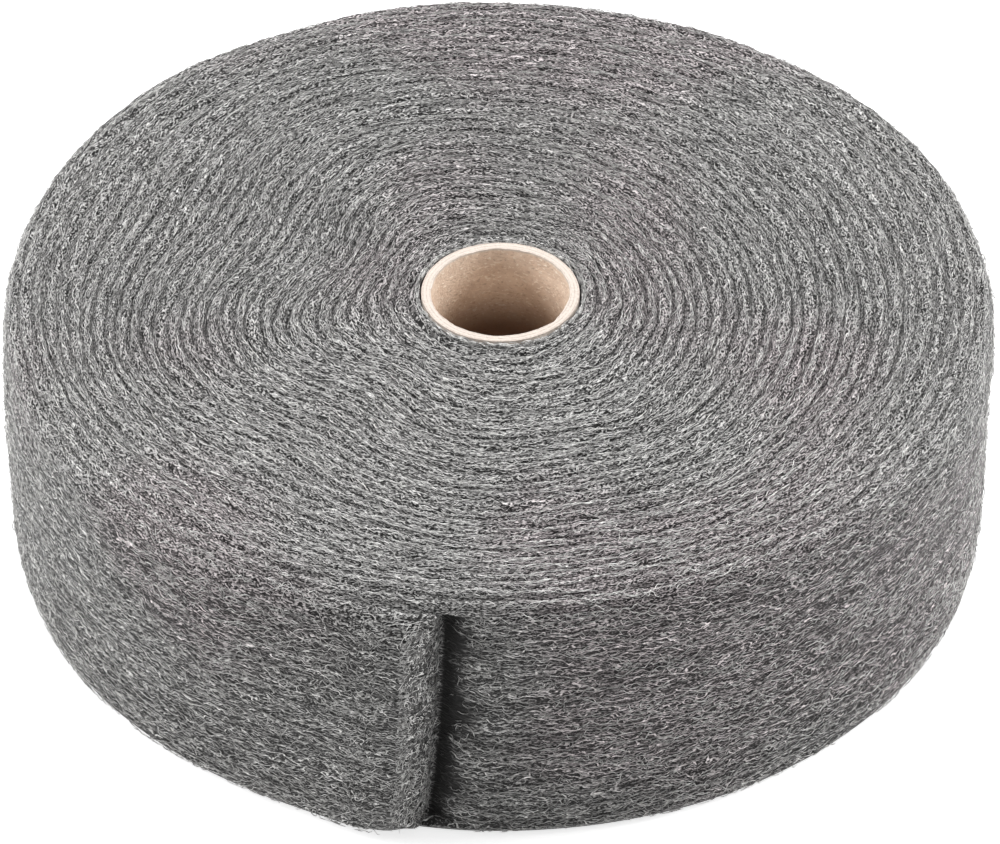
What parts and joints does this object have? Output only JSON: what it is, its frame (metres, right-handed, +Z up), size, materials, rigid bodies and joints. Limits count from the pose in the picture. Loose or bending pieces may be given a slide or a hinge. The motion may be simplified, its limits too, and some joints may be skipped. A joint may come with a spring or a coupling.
{
  "type": "steel wool roll",
  "caption": "Ribbon of fine steel wool wound on an open cardboard core tube, standing on its end with the free end of the ribbon at the front.",
  "frame": {"origin": "on the axis of the core tube, at the surface that the roll stands on", "axes": "+Z up along the core tube; -Y towards the free end of the ribbon; +X to the right of it"},
  "size_m": [0.3167, 0.3194, 0.1],
  "materials": {
    "core_cardboard": "matte",
    "steel_wool": "matte"
  },
  "bodies": {
    "root": {"core_tube": "core_cardboard", "steel_wool_roll": "steel_wool"}
  },
  "joints": []
}
